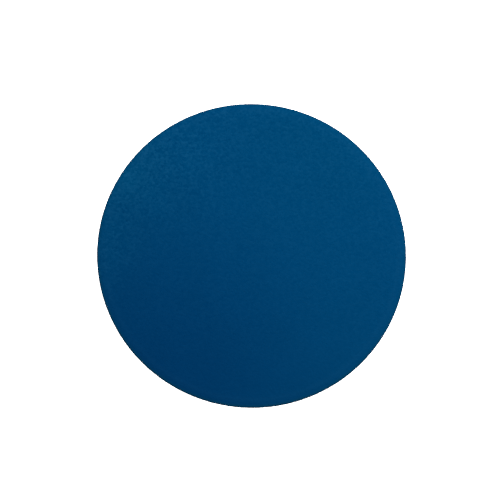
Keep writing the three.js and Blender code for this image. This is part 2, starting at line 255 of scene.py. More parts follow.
def lathe(profile, segments, closed=False, start=0.0):
    """Spins profile points round Z. The list runs up the outside, so that the faces point out."""
    points = []
    rows = []
    for r, z in profile:
        if r < EPS:
            rows.append([len(points)] * segments)
            points.append((0, 0, z))
            continue
        rows.append(range(len(points), len(points) + segments))
        points += [(x, y, z) for x, y in ring_of_places(r, segments, start)]
    faces = []
    pairs = list(zip(rows, rows[1:]))
    if closed:
        pairs.append((rows[-1], rows[0]))
    for low, high in pairs:
        for i in range(segments):
            j = (i + 1) % segments
            face = list(dict.fromkeys((low[i], low[j], high[j], high[i])))
            if len(face) > 2:
                faces.append(face)
    return points, faces


def softened_box(inner, outer, low, high, fillet):
    """The section of a ring: a rectangle with softened corners."""
    corners = [(inner, low), (outer, low), (outer, high), (inner, high)]
    return rounded([(r, z, fillet) for r, z in corners], True)


def tube(inner, outer, low, high, fillet=0.0, segments=SMALL_ROUND):
    """An upright ring of rectangular section."""
    return lathe(softened_box(inner, outer, low, high, fillet), segments, True, OFF_LINE)


def swept(section, start, end, steps):
    """Sweeps a closed section of (radius, height) points round Z between two angles. Its ends are flat."""
    count = len(section)
    points = []
    for step in range(steps + 1):
        turn = start + (end - start) * step / steps
        points += [(r * math.cos(turn), r * math.sin(turn), z) for r, z in section]
    faces = [list(range(count)), list(range(steps * count, (steps + 1) * count))[::-1]]
    for step in range(steps):
        for i in range(count):
            a, b = step * count + i, step * count + (i + 1) % count
            faces.append((a, a + count, b + count, b))
    return points, faces


def moved(shape, matrix):
    """The shape with a matrix applied to its points."""
    points, faces = shape
    return [matrix @ Vector(p) for p in points], faces


def together(*shapes):
    """Several shapes as one, left as they are where they overlap."""
    points = []
    faces = []
    for more_points, more_faces in shapes:
        start = len(points)
        points += more_points
        faces += [[start + i for i in face] for face in more_faces]
    return points, faces


def at_each(shape, places):
    """Copies of the shape, one at each (x, y) place."""
    return together(*[moved(shape, Matrix.Translation((x, y, 0))) for x, y in places])


def block(size_x, size_y, low, high, taper=1.0):
    """A box centred on Z, whose top is taper times its foot."""
    points = []
    for z, scale in ((low, 1.0), (high, taper)):
        x, y = size_x / 2 * scale, size_y / 2 * scale
        points += [(-x, -y, z), (x, -y, z), (x, y, z), (-x, y, z)]
    sides = [(i, (i + 1) % 4, (i + 1) % 4 + 4, i + 4) for i in range(4)]
    return points, [(3, 2, 1, 0), (4, 5, 6, 7), *sides]


def rod(radius, low, high, segments=SMALL_ROUND):
    """An upright cylinder on Z."""
    profile = rounded([(0, low, 0), (radius, low, 0), (radius, high, 0), (0, high, 0)])
    return lathe(profile, segments, start=OFF_LINE)


def flared_hole(radius, mouth_z, top, flare=0.3, segments=SMALL_ROUND):
    """A cutter that comes up from below. Its mouth is chamfered where it meets the face at mouth_z."""
    profile = [
        (0, mouth_z - 1),
        (radius + flare + 1, mouth_z - 1),
        (radius, mouth_z + flare),
        (radius, top),
        (0, top),
    ]
    return lathe([Vector(p) for p in profile], segments, start=OFF_LINE)


def ring_of_places(radius, count, start=0.0):
    """Places evenly round a circle, the first at the start angle."""
    turns = [start + TAU * i / count for i in range(count)]
    return [(radius * math.cos(turn), radius * math.sin(turn)) for turn in turns]


def mesh_of(shape, name):
    """A Blender mesh, in metres, of a shape in millimetres."""
    points, faces = shape
    mesh = bpy.data.meshes.new(name)
    mesh.from_pydata([tuple(c * MM for c in p) for p in points], [], [list(face) for face in faces])
    mesh.validate()
    return mesh


def joined(base, tool, operation, name):
    """The mesh left when tool is added to base, or cut from it."""
    base_object = bpy.data.objects.new(name, mesh_of(base, name) if isinstance(base, tuple) else base)
    tool_object = bpy.data.objects.new(name + "_tool", mesh_of(tool, name + "_tool"))
    for o in (base_object, tool_object):
        bpy.context.scene.collection.objects.link(o)
    modifier = base_object.modifiers.new("join", "BOOLEAN")
    modifier.operation = operation
    modifier.solver = "EXACT"
    modifier.object = tool_object
    graph = bpy.context.evaluated_depsgraph_get()
    mesh = bpy.data.meshes.new_from_object(base_object.evaluated_get(graph))
    for o in (base_object, tool_object):
        bpy.data.objects.remove(o)
    mesh.name = name
    return mesh


def piece(name, mesh, slot, body, node, place=(0, 0), sharp=35):
    """Shows a mesh as one piece of the object, in place of a CAD node, with the finish of a material slot."""
    o = bpy.data.objects.new(name, mesh)
    bpy.context.scene.collection.objects.link(o)
    o.location = (place[0] * MM, place[1] * MM, 0)
    mesh.materials.clear()
    mesh.materials.append(FINISHES[slot])
    mesh.shade_smooth()
    mesh.set_sharp_from_angle(angle=math.radians(sharp))
    even = o.modifiers.new("even_shading", "WEIGHTED_NORMAL")
    even.keep_sharp = True
    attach(o, body)
    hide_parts(node)


# ---------------------------------------------------------------- materials
class Shader:
    """A node material, with short ways to add nodes and join them."""

    def __init__(self, name):
        self.material = bpy.data.materials.new(name)
        self.material.use_nodes = True
        self.tree = self.material.node_tree
        self.surface = self.tree.nodes["Principled BSDF"]
        self.place = self.add("ShaderNodeTexCoord").outputs["Object"]

    def add(self, kind, **settings):
        """A new node with some of its settings."""
        node = self.tree.nodes.new(kind)
        for key, value in settings.items():
            setattr(node, key, value)
        return node

    def put(self, node, socket, value):
        """Sets a node's input to a number, a colour or another node's output."""
        if isinstance(value, bpy.types.NodeSocket):
            self.tree.links.new(value, node.inputs[socket])
        else:
            node.inputs[socket].default_value = value

    def set(self, **inputs):
        """Sets inputs of the surface. An underscore in a name stands for a space."""
        for key, value in inputs.items():
            self.put(self.surface, key.replace("_", " "), value)

    def noise(self, size, detail=2.0, stretch=None):
        """Smooth noise whose blobs are about size millimetres across."""
        node = self.add("ShaderNodeTexNoise")
        self.put(node, "Vector", self.stretched(stretch) if stretch else self.place)
        self.put(node, "Scale", 1 / (size * MM))
        self.put(node, "Detail", detail)
        return node.outputs["Fac"]

    def stretched(self, scale):
        """The point's place, with each axis scaled by its own number."""
        node = self.add("ShaderNodeVectorMath", operation="MULTIPLY")
        self.put(node, 0, self.place)
        self.put(node, 1, scale)
        return node.outputs[0]

    def cells(self, size):
        """Grains about size millimetres across: (a random value for each, the distance from its middle)."""
        node = self.add("ShaderNodeTexVoronoi")
        self.put(node, "Vector", self.place)
        self.put(node, "Scale", 1 / (size * MM))
        split = self.add("ShaderNodeSeparateColor")
        self.put(split, "Color", node.outputs["Color"])
        return split.outputs[0], node.outputs["Distance"]

    def remap(self, value, low, high, to_low, to_high):
        """The value moved from the first range to the second, and held inside it."""
        node = self.add("ShaderNodeMapRange")
        for i, v in enumerate((value, low, high, to_low, to_high)):
            self.put(node, i, v)
        return node.outputs[0]

    def smooth(self, value, low, high):
        """0 below low to 1 above high, or the other way round when low is the larger, with eased ends."""
        node = self.add("ShaderNodeMapRange", interpolation_type="SMOOTHSTEP")
        for i, v in enumerate((value, low, high, 0, 1)):
            self.put(node, i, v)
        return node.outputs[0]

    def distance_from(self, x, y):
        """Distance from an upright line through (x, y), in millimetres."""
        node = self.add("ShaderNodeVectorMath", operation="DISTANCE")
        flat = self.stretched((1, 1, 0))
        self.put(node, 0, flat)
        self.put(node, 1, (x * MM, y * MM, 0))
        return self.maths("DIVIDE", node.outputs["Value"], MM)

    def maths(self, operation, *values):
        """One step of arithmetic on numbers or outputs."""
        node = self.add("ShaderNodeMath", operation=operation)
        for i, value in enumerate(values):
            self.put(node, i, value)
        return node.outputs[0]

    def mix(self, share, a, b, blend="MIX"):
        """Colour a with a share of colour b."""
        node = self.add("ShaderNodeMix", data_type="RGBA", blend_type=blend)
        self.put(node, 0, share)
        self.put(node, 6, a)
        self.put(node, 7, b)
        return node.outputs[2]

    def grey(self, value):
        """A grey colour from one number."""
        node = self.add("ShaderNodeCombineColor")
        for i in range(3):
            self.put(node, i, value)
        return node.outputs[0]

    def shifted(self, base, amount, colour):
        """The base colour plus amount times the other colour. The amount may be negative."""
        node = self.add("ShaderNodeVectorMath", operation="MULTIPLY_ADD")
        self.put(node, 0, self.grey(amount))
        self.put(node, 1, colour[:3])
        self.put(node, 2, base)
        return node.outputs[0]

    def axes(self):
        """The three coordinates of the point, in millimetres."""
        node = self.add("ShaderNodeSeparateXYZ")
        self.put(node, 0, self.stretched((1 / MM, 1 / MM, 1 / MM)))
        return node.outputs

    def patch(self, x, y, faded, full):
        """A soft round patch about an upright line: 0 beyond the radius faded, 1 within the radius full."""
        return self.smooth(self.distance_from(x, y), faded, full)

    def bump(self, height, depth, under=None):
        """Bumps up to depth millimetres high, over the bumps in under."""
        node = self.add("ShaderNodeBump")
        self.put(node, "Strength", 1.0)
        self.put(node, "Distance", depth * MM)
        self.put(node, "Height", height)
        if under is not None:
            self.put(node, "Normal", under)
        return node.outputs["Normal"]


def stone_material():
    """Fine blue grains bonded together, with pores between them, a paler ring on the shoulder and painted
    shade on the corner.
    """
    s = Shader("porous_stone")
    tint, reach = s.cells(STONE_CELL)
    speckle = s.noise(STONE_SPECKLE, 3)
    cloud = s.noise(STONE_CLOUD, 3)
    _, y, z = s.axes()
    from_axis = s.distance_from(0, 0)
    on_side = s.smooth(z, STONE_TOP - 0.6, STONE_TOP - 1.1)

    # The blue of the face, in soft patches: painted shade at its front left and back right, a painted sheen
    # at its back left, and how much its grain stands out.
    base = s.mix(s.patch(*SHADE_PATCH), STONE_BLUE, STONE_PAINTED_SHADE)
    base = s.mix(s.patch(*LAMP_SHADE_PATCH), base, STONE_LAMP_SHADE)
    # Painted sheen: how strong it is at each point, summed over its patches, which also make the grain stand
    # out more.
    sheen_share = 0.0
    contrast = s.remap(y, -DISC_R, DISC_R, FRONT_CONTRAST, BACK_CONTRAST)
    for *place, pale, grain in SHEEN_PATCHES:
        patch = s.patch(*place)
        sheen_share = s.maths("MULTIPLY_ADD", patch, pale, sheen_share)
        contrast = s.maths("MULTIPLY_ADD", patch, grain, contrast)
    base = s.mix(s.maths("MULTIPLY", sheen_share, s.remap(cloud, 0.3, 0.65, 0.55, 1)), base, STONE_SHEEN)
    colour = s.mix(1.0, base, s.grey(s.remap(cloud, 0.3, 0.7, 0.98, 1.02)), "MULTIPLY")

    # A paler ring along the shoulder, and painted shade on the corner outside it.
    off_shoulder = s.maths("ABSOLUTE", s.maths("SUBTRACT", from_axis, DISC_R - SHOULDER + 0.25))
    colour = s.shifted(colour, s.remap(off_shoulder, 0, 1.2, 1, 0), STONE_SHOULDER_RING)
    # Painted shade on the face's rounded corner, kept off the side.
    corner = s.remap(from_axis, DISC_R - 1.1, DISC_R - 0.25, 0, 1)
    colour = s.mix(s.maths("MULTIPLY", corner, s.maths("SUBTRACT", 1, on_side)), colour, STONE_CORNER_SHADE)

    # Pale and dark grains, and their bumps.
    contrast = s.remap(on_side, 0, 1, contrast, SIDE_CONTRAST)
    grain = s.maths("ADD", s.remap(tint, 0, 1, -1, 1), s.remap(speckle, 0.3, 0.7, -0.5, 0.5))
    colour = s.shifted(colour, s.maths("MULTIPLY", grain, contrast), STONE_GLINT)
    grit = s.bump(s.remap(reach, 0, 0.6, 1, 0), 0.05)
    s.set(Base_Color=colour, Specular_IOR_Level=0.0, Diffuse_Roughness=0.7)
    s.set(Roughness=s.remap(speckle, 0.3, 0.7, 0.88, 1.0))
    s.set(Normal=s.bump(speckle, 0.05, grit))
    return s.material


def plastic_material(name, colour, roughness, grain, depth):
    """Moulded plastic with a fine spark texture, slow colour drift and a few pale scuffs."""
    s = Shader(name)
    cloud = s.noise(9, 3)
    texture = s.noise(grain, 3)
    scuffs = s.remap(s.noise(1.5, 4, (1, 1, 6)), 0.62, 0.75, 0, 1)
    light = tuple(min(1.0, c * 1.5 + 0.004) for c in colour[:3]) + (1,)
    tone = s.mix(s.remap(cloud, 0.3, 0.7, 0, 0.5), colour, light)
    s.set(Base_Color=s.mix(s.maths("MULTIPLY", scuffs, 0.25), tone, light), Specular_IOR_Level=0.35)
    s.set(Roughness=s.remap(texture, 0.3, 0.7, roughness - 0.07, roughness + 0.1))
    s.set(Normal=s.bump(texture, depth, s.bump(cloud, 0.01)))
    return s.material


def rubber_material(name, colour, roughness):
    """Soft rubber with a dusty bloom."""
    s = Shader(name)
    bloom = s.noise(2.5, 4)
    fine = s.noise(0.2, 2)
    dusty = tuple(c * 0.8 + 0.02 for c in colour[:3]) + (1,)
    s.set(Base_Color=s.mix(s.remap(bloom, 0.35, 0.7, 0, 0.6), colour, dusty))
    s.set(Roughness=s.remap(bloom, 0.3, 0.7, roughness - 0.08, roughness + 0.12))
    s.set(Normal=s.bump(fine, 0.008))
    return s.material


def clear_vinyl_material():
    """Clear soft vinyl, a little hazy and rippled."""
    s = Shader("cup_rubber")
    ripple = s.noise(3, 2)
    haze = s.noise(0.5, 3)
    s.set(Base_Color=s.mix(s.remap(ripple, 0.3, 0.7, 0, 1), CUP_CLEAR, CUP_HAZY))
    s.set(Roughness=s.remap(haze, 0.3, 0.7, 0.12, 0.24), IOR=1.45, Transmission_Weight=0.75)
    s.set(Normal=s.bump(ripple, 0.05, s.bump(haze, 0.004)))
    return s.material


def steel_material(name, colour, roughness):
    """Steel with marks round it from turning, and duller stains."""
    s = Shader(name)
    brushed = s.noise(0.6, 4, (1, 1, 12))
    stains = s.noise(1.8, 3)
    dull = tuple(c * 0.75 for c in colour[:3]) + (1,)
    s.set(Base_Color=s.mix(s.remap(stains, 0.45, 0.7, 0, 0.7), colour, dull), Metallic=1.0)
    s.set(Roughness=s.remap(brushed, 0.3, 0.7, roughness - 0.08, roughness + 0.14))
    s.set(Normal=s.bump(brushed, 0.006))
    return s.material


FINISHES = {
    "porous_stone": stone_material(),
    "bond_rubber": rubber_material("bond_rubber", BOND_BLACK, 0.5),
    "housing_plastic": plastic_material("housing_plastic", HOUSING_BLACK, 0.46, 0.6, 0.03),
    "ballast_steel": steel_material("ballast_steel", BALLAST_STEEL, 0.45),
    "fitting_plastic": plastic_material("fitting_plastic", FITTING_GREY, 0.32, 0.5, 0.006),
    "screw_steel": steel_material("screw_steel", SCREW_STEEL, 0.28),
    "cup_rubber": clear_vinyl_material(),
    "valve_rubber": rubber_material("valve_rubber", VALVE_ORANGE, 0.6),
}


# ---------------------------------------------------------------- stone disc
def grain_disc(radius, pitch):
    """An evenly spaced round sheet of points: the points, and the index of each ring's first point."""
    rings = round(radius / pitch)
    starts = [0]
    points = [(0.0, 0.0)]
    for ring in range(1, rings + 1):
        starts.append(len(points))
        offset = random.uniform(0, TAU) if ring < rings else 0.0
        points += ring_of_places(radius * ring / rings, 6 * ring, offset)
    return points, starts


def by_angle(points, members):
    """(angle, point index) of some points, in order of angle."""
    return sorted((math.atan2(points[m][1], points[m][0]) % TAU, m) for m in members)


def stitched(inner, outer):
    """Triangles between two rings of (angle, point index), both in order of angle."""
    faces = []
    i = j = 0
    while i < len(inner) or j < len(outer):
        a, b = inner[i % len(inner)], outer[j % len(outer)]
        next_a, next_b = inner[(i + 1) % len(inner)], outer[(j + 1) % len(outer)]
        turn_a = next_a[0] + TAU * ((i + 1) // len(inner))
        turn_b = next_b[0] + TAU * ((j + 1) // len(outer))
        if j < len(outer) and (i >= len(inner) or turn_b <= turn_a):
            faces.append((a[1], b[1], next_b[1]))
            j += 1
        else:
            faces.append((a[1], b[1], next_a[1]))
            i += 1
    return faces


def face_height(r):
    """Height of the stone's face, which drops a little over its shoulder."""
    t = min(max((r - (DISC_R - SHOULDER)) / (SHOULDER - CORNER_R), 0), 1)
    return STONE_TOP - SHOULDER_DROP * t * t


def stone_side():
    """(radius, height) pairs from the rounded corner down the leaning side and under it to the spigot."""
    rim_z = STONE_TOP - SHOULDER_DROP
    top = (DISC_R, rim_z - CORNER_R)
    side = [corner[:2] for corner in bowed((DISC_R - CORNER_R, rim_z), (DISC_R, rim_z), top, 4)[1:]]
    rows = round((top[1] - STONE_LEDGE) / GRAIN)
    for row in range(1, rows + 1):
        share = row / rows
        side.append((top[0] + (STONE_FOOT_R - top[0]) * share, top[1] + (STONE_LEDGE - top[1]) * share))
    return side + [(STONE_FOOT_R - 1, STONE_LEDGE), (SPIGOT_R, STONE_LEDGE), (SPIGOT_R, STONE_LOW.z)]


def stone_shape():
    """The stone: a face of even small triangles, a rounded corner, a leaning side and a flat underside."""
    flat, starts = grain_disc(DISC_R - CORNER_R, GRAIN)
    points = [(x, y, face_height(math.hypot(x, y))) for x, y in flat]
    ends = starts[2:] + [len(flat)]
    rings = [by_angle(flat, range(start, end)) for start, end in zip(starts[1:], ends)]
    faces = [(0, rings[0][i][1], rings[0][(i + 1) % 6][1]) for i in range(6)]
    for inner, outer in zip(rings, rings[1:]):
        faces += stitched(inner, outer)

    count = len(rings[-1])
    above = range(starts[-1], starts[-1] + count)
    for r, z in stone_side():
        below = range(len(points), len(points) + count)
        points += [(x, y, z) for x, y in ring_of_places(r, count)]
        for i in range(count):
            j = (i + 1) % count
            faces.append((above[i], below[i], below[j], above[j]))
        above = below
    points.append((0, 0, STONE_LOW.z))
    for i in range(count):
        faces.append((above[(i + 1) % count], above[i], len(points) - 1))
    return points, faces


def roughened(mesh):
    """Moves the stone's surface points in or out a little, like bonded grains with pores between them."""
    count = len(mesh.vertices)
    mesh.update()
    normals = np.zeros(count * 3, np.float32)
    mesh.vertex_normals.foreach_get("vector", normals)
    normals = normals.reshape(-1, 3)
    places = np.zeros(count * 3, np.float32)
    mesh.vertices.foreach_get("co", places)
    places = places.reshape(-1, 3)
    grain = random.uniform(-1, GRAIN_PROUD, count)
    pores = random.uniform(0, 1, count) > 1 - PORE_SHARE
    depth = GRAIN_DEPTH * MM * (grain - PORE_DEPTH * pores)
    outer = np.hypot(places[:, 0], places[:, 1]) > (STONE_FOOT_R - 0.5) * MM
    on_side = places[:, 2] < (STONE_TOP - SHOULDER_DROP - CORNER_R) * MM
    shown = (places[:, 2] > (STONE_LEDGE + 0.1) * MM) | outer
    places += normals * (depth * shown * (1 + WALL_GRAIN * on_side))[:, None]
    mesh.vertices.foreach_set("co", places.ravel())
    mesh.update()


def build_stone():
    """The porous disc on top."""
    mesh = mesh_of(stone_shape(), "porous_stone")
    roughened(mesh)
    piece("porous_stone", mesh, "porous_stone", "housing", "stone_disc", sharp=75)


# ---------------------------------------------------------------- housing
def build_bond():
    """The black bond line under the stone's edge."""
    shape = tube(SPIGOT_R + 0.4, TRAY_RIM_R, SEAL_LOW.z, SEAL_HIGH.z, 0.15, ROUND)
    piece("bond_bead", mesh_of(shape, "bond_bead"), "bond_rubber", "housing", "seal_ring")


def build_tray():
    """A pan with a well and a boss at its centre, posts under the stone, and pegs over the ballast."""
    spigot_wall = SPIGOT_R + 0.3
    chamber = SPIGOT_R - 0.8
    well_outer = WELL_R + WALL
    pan = lathe(
        rounded(
            [
                (STEM_BORE_R, BOSS_Z, 0.3),
                (BOSS_R, BOSS_Z, 0.4),
                (BOSS_R, WELL_Z - WALL, 0.5),
                (well_outer, WELL_Z - WALL, 0.5),
                (well_outer, TRAY_Z, 0.6),
                (TRAY_FOOT_R, TRAY_Z, 0.35),
                (TRAY_RIM_R, TRAY_RIM_Z, 0.3),
                (spigot_wall, TRAY_RIM_Z, 0.2),
                (spigot_wall, STONE_REST_Z, 0.1),
                (chamber, STONE_REST_Z, 0.1),
                (chamber, TRAY_FLOOR_Z, 0.8),
                (WELL_R, TRAY_FLOOR_Z, 0.3),
                (WELL_R, WELL_Z, 0.4),
                (STEM_BORE_R, WELL_Z, 0.2),
            ],
            True,
        ),
        ROUND,
        True,
    )
    post = rod(POST_R, TRAY_FLOOR_Z - OVERLAP, STONE_REST_Z, FINE_ROUND)
    peg = rod(POST_R, BALLAST_HIGH.z + TOUCH, TRAY_Z + OVERLAP, FINE_ROUND)
    screw_post = tube(SCREW_R + 0.1, SCREW_POST_R, SCREW_BOSS_Z + 0.2, TRAY_Z + OVERLAP)
    ring_outer = SHELL_RIM_R - WALL - 1
    ring_low = SHELL_HIGH.z - LOCATING_DEPTH
    locating_ring = tube(ring_outer - 1.5, ring_outer, ring_low, TRAY_Z + OVERLAP, 0.2, ROUND)
    inner_places = ring_of_places(*INNER_POSTS)
    added = together(
        locating_ring,
        at_each(post, inner_places + ring_of_places(*OUTER_POSTS)),
        at_each(peg, inner_places),
        at_each(screw_post, ring_of_places(SCREW_RING_R, 4)),
    )
    mesh = joined(pan, added, "UNION", "tray_pan")
    piece("tray_pan", mesh, "housing_plastic", "housing", "air_tray")


def build_shell():
    """A bowl with a hole for the boss, sunk screw heads, sockets for the cups and drains."""
    outside = bowed(
        (SHELL_FOOT_R, SHELL_Z),
        (SHELL_BELLY_R, SHELL_Z + 0.8),
        (SHELL_RIM_R, SHELL_HIGH.z - 0.3),
        14,
    )
    inside = bowed(
        (SHELL_RIM_R - WALL, SHELL_HIGH.z),
        (SHELL_BELLY_R - WALL, SHELL_FLOOR_Z + 0.6),
        (SHELL_FOOT_R - 0.5, SHELL_FLOOR_Z),
        10,
    )
    corners = [
        (SHELL_HOLE_R, SHELL_Z, 0.4),
        (SHELL_HOLE_R + 1, SHELL_Z, 0),
        (SHELL_FOOT_R - 1, SHELL_Z, 0),
        *outside,
        (SHELL_RIM_R - 0.1, SHELL_HIGH.z - 0.08, 0),
        (SHELL_RIM_R - 0.35, SHELL_HIGH.z, 0),
        *inside,
        (SHELL_HOLE_R, SHELL_FLOOR_Z, 0.2),
    ]
    bowl = lathe(rounded(corners, True), ROUND, True)
    boss = rod(SCREW_BOSS_R, SHELL_Z + OVERLAP, SCREW_BOSS_Z)
    seat = flared_hole(SCREW_HEAD_R + 0.4, SHELL_Z, SCREW_SEAT_Z)
    hole = rod(SCREW_R + 0.15, SHELL_Z + 1, SCREW_BOSS_Z + 1)
    socket = flared_hole(CUP_NECK_R + 0.3, SHELL_Z, SHELL_FLOOR_Z + 1)
    drain = flared_hole(DRAIN_R, SHELL_Z, SHELL_FLOOR_Z + 1, 0.25, FINE_ROUND)
    screw_places = ring_of_places(SCREW_RING_R, 4)
    through = together(
        at_each(socket, ring_of_places(CUP_RING_R, 4, TAU / 8)),
        at_each(drain, ring_of_places(*DRAINS, TAU / 16)),
        at_each(seat, screw_places),
    )
    mesh = joined(bowl, at_each(boss, screw_places), "UNION", "base_bowl")
    mesh = joined(mesh, through, "DIFFERENCE", "base_bowl")
    mesh = joined(mesh, at_each(hole, screw_places), "DIFFERENCE", "base_bowl")
    piece("base_bowl", mesh, "housing_plastic", "housing", "base_shell", sharp=30)


def build_screws():
    """Pan head screws, head down, with a cross recess and a coarse thread."""
    head_z = SCREW_SEAT_Z - SCREW_HEAD_HEIGHT
    under_head = SCREW_SEAT_Z - TOUCH
    root = SCREW_R - THREAD_DEPTH
    corners = [
        (0, head_z, 0),
        (SCREW_HEAD_R - 0.9, head_z + 0.05, 0.3),
        (SCREW_HEAD_R, head_z + 0.8, 0.5),
        (SCREW_HEAD_R, under_head, 0.15),
        (root, under_head, 0.1),
    ]
    tip_length = 1.2
    z = SCREW_SEAT_Z + 0.4
    while z < SCREW_HIGH.z - tip_length:
        corners += [(root, z, 0), (SCREW_R, z + 0.25, 0.05), (root, z + 0.5, 0)]
        z += THREAD_PITCH
    corners += [(root, SCREW_HIGH.z - 1.1, 0), (0, SCREW_HIGH.z, 0)]
    blank = lathe(rounded(corners), SMALL_ROUND)
    slot_length, slot_width, slot_depth, slot_taper = 3.2, 0.75, 0.95, 0.6
    slots = [
        block(slot_length, slot_width, head_z - 1, head_z + slot_depth, slot_taper),
        block(slot_width, slot_length, head_z - 1, head_z + slot_depth, slot_taper),
    ]
    for side, place in zip(SIDES, ring_of_places(SCREW_RING_R, 4, -TAU / 4)):
        mesh = joined(blank, slots[0], "DIFFERENCE", "pan_screw")
        mesh = joined(mesh, slots[1], "DIFFERENCE", "pan_screw")
        mesh.transform(Matrix.Rotation(random.uniform(0, TAU), 4, "Z"))
        piece(f"pan_screw_{side}", mesh, "screw_steel", "housing", f"shell_screw_{side}", place)


def build_cups():
    """Soft cups: a thin flat lip, a domed hollow, a collar, and a bulb that has snapped through the base."""
    lip_inner = CUP_R - 1.6
    collar_z = SHELL_Z - 0.1
    bulb_z = SHELL_FLOOR_Z + 0.2
    corners = [
        (0, CUP_HOLLOW_Z, 0),
        *bowed((2.5, CUP_HOLLOW_Z - 0.1), (6.2, 2.3), (lip_inner, 0), 10),
        (CUP_R - 0.3, 0, 0.1),
        (CUP_R, 0.3, 0.15),
        *bowed((CUP_R - 0.6, 0.9), (4.6, 3), (CUP_WAIST_R, CUP_WAIST_Z), 12),
        (CUP_COLLAR_R, CUP_WAIST_Z + 0.8, 0.4),
        (CUP_COLLAR_R, collar_z, 0.3),
        (CUP_NECK_R, collar_z, 0.15),
        (CUP_NECK_R, bulb_z, 0.15),
        *bowed((4.3, bulb_z), (4.2, bulb_z + 2), (0, bulb_z + 2.2), 8),
    ]
    shape = lathe(rounded(corners), CUP_ROUND)
    for corner, place in zip(CORNERS, ring_of_places(CUP_RING_R, 4, -TAU / 8)):
        mesh = mesh_of(shape, "clear_cup")
        piece(f"clear_cup_{corner}", mesh, "cup_rubber", "housing", f"suction_cup_{corner}", place)


# ---------------------------------------------------------------- swivel
def elbow_stem():
    """The upright stem, with a flange under the boss and grooves for the O-ring and the clip."""
    knuckle_r = 4.2
    flange_r = 6.8
    flange_z = BOSS_Z - 0.2
    flange_low = flange_z - 1.3
    ring_z = (RING_LOW.z + RING_HIGH.z) / 2
    ring_room = 0.7
    clip_room = 0.06
    corners = [
        (0, ARM_Z - ARM_DROP, 0),
        (2.6, ARM_Z - ARM_DROP, 0.8),
        (knuckle_r, ARM_Z - ARM_DROP / 2, 0.8),
        (knuckle_r + 0.2, flange_low, 0.6),
        (flange_r, flange_low, 0.3),
        (flange_r, flange_z, 0.2),
        (STEM_R, flange_z, 0.1),
    ]
    for low, high in (
        (ring_z - ring_room, ring_z + ring_room),
        (CLIP_LOW.z - clip_room, CLIP_HIGH.z + clip_room),
    ):
        corners += [(STEM_R, low, 0.08), (STEM_GROOVE_R, low, 0.05)]
        corners += [(STEM_GROOVE_R, high, 0.05), (STEM_R, high, 0.08)]
    corners += [(STEM_R, ELBOW_HIGH.z, 0.3), (0, ELBOW_HIGH.z, 0)]
    return lathe(rounded(corners), SMALL_ROUND)


def elbow_arm():
    """The hose arm, standing on Z: a round arm, a stop collar and barbs that slope up from the tip."""
    collar_r = ARM_R + 0.2
    start = ARM_LENGTH - BARBS * BARB_PITCH
    collar = (start - 2, start - 0.8)
    corners = [
        (0, 0, 0),
        (ARM_R, 0, 0),
        (ARM_R, collar[0], 0.2),
        (collar_r, collar[0], 0.15),
        (collar_r, collar[1], 0.15),
        (BARB_ROOT, collar[1], 0.2),
    ]
    for i in range(BARBS):
        z = start + i * BARB_PITCH
        corners += [(BARB_ROOT, z, 0.1), (BARB_PEAK, z + 0.05, 0.06), (BARB_PEAK, z + 0.35, 0.15)]
    corners += [(BARB_ROOT - 0.1, ARM_LENGTH, 0.15), (0, ARM_LENGTH, 0)]
    return lathe(rounded(corners), SMALL_ROUND)


def build_elbow():
    """The barbed inlet: an upright stem and an arm towards -Y, with an air way through both."""
    aim = Matrix.Translation((0, 0, ARM_Z)) @ Matrix.Rotation(TAU / 4, 4, "X")
    past = 0.45  # the two bores meet past each other's axis, and differ a little, so that they cross cleanly
    arm_bore = moved(rod(AIR_BORE_R, -past, ARM_LENGTH + 1, FINE_ROUND), aim)
    stem_bore = rod(AIR_BORE_R + 0.04, ARM_Z - past, ELBOW_HIGH.z + 1, 30)
    mesh = joined(elbow_stem(), moved(elbow_arm(), aim), "UNION", "barbed_elbow")
    mesh = joined(mesh, arm_bore, "DIFFERENCE", "barbed_elbow")
    mesh = joined(mesh, stem_bore, "DIFFERENCE", "barbed_elbow")
    piece("barbed_elbow", mesh, "fitting_plastic", "swivel", "hose_elbow", sharp=40)


def build_ring():
    """The O-ring round the stem."""
    section_r = (RING_HIGH.z - RING_LOW.z) / 2
    middle = RING_HIGH.x - section_r
    height = (RING_LOW.z + RING_HIGH.z) / 2
    profile = [Vector((middle + x, height + y)) for x, y in ring_of_places(section_r, 24)]
    mesh = mesh_of(lathe(profile, CUP_ROUND, True), "stem_o_ring")
    piece("stem_o_ring", mesh, "bond_rubber", "swivel", "elbow_o_ring")


def build_clip():
    """An open spring clip in the stem's upper groove. Its gap faces +Y."""
    first = TAU / 4 + CLIP_GAP / 2
    section = softened_box(STEM_R - 1, CLIP_HIGH.x, CLIP_LOW.z, CLIP_HIGH.z, 0.1)
    mesh = mesh_of(swept(section, first, first + TAU - CLIP_GAP, 60), "stem_clip")
    piece("stem_clip", mesh, "screw_steel", "swivel", "elbow_clip")


# ---------------------------------------------------------------- ballast and check valve
def build_ballast():
    """A chamfered steel ring."""
    low, high = BALLAST_LOW.z, BALLAST_HIGH.z
    chamfer = 0.5
    corners = [
        (BALLAST_INNER_R, low, 0.3),
        (BALLAST_OUTER_R - chamfer, low, 0.2),
        (BALLAST_OUTER_R, low + chamfer, 0.2),
        (BALLAST_OUTER_R, high - chamfer, 0.2),
        (BALLAST_OUTER_R - chamfer, high, 0.2),
        (BALLAST_INNER_R, high, 0.3),
    ]
    mesh = mesh_of(lathe(rounded(corners, True), ROUND, True), "steel_ballast")
    piece("steel_ballast", mesh, "ballast_steel", "housing", "ballast_ring")


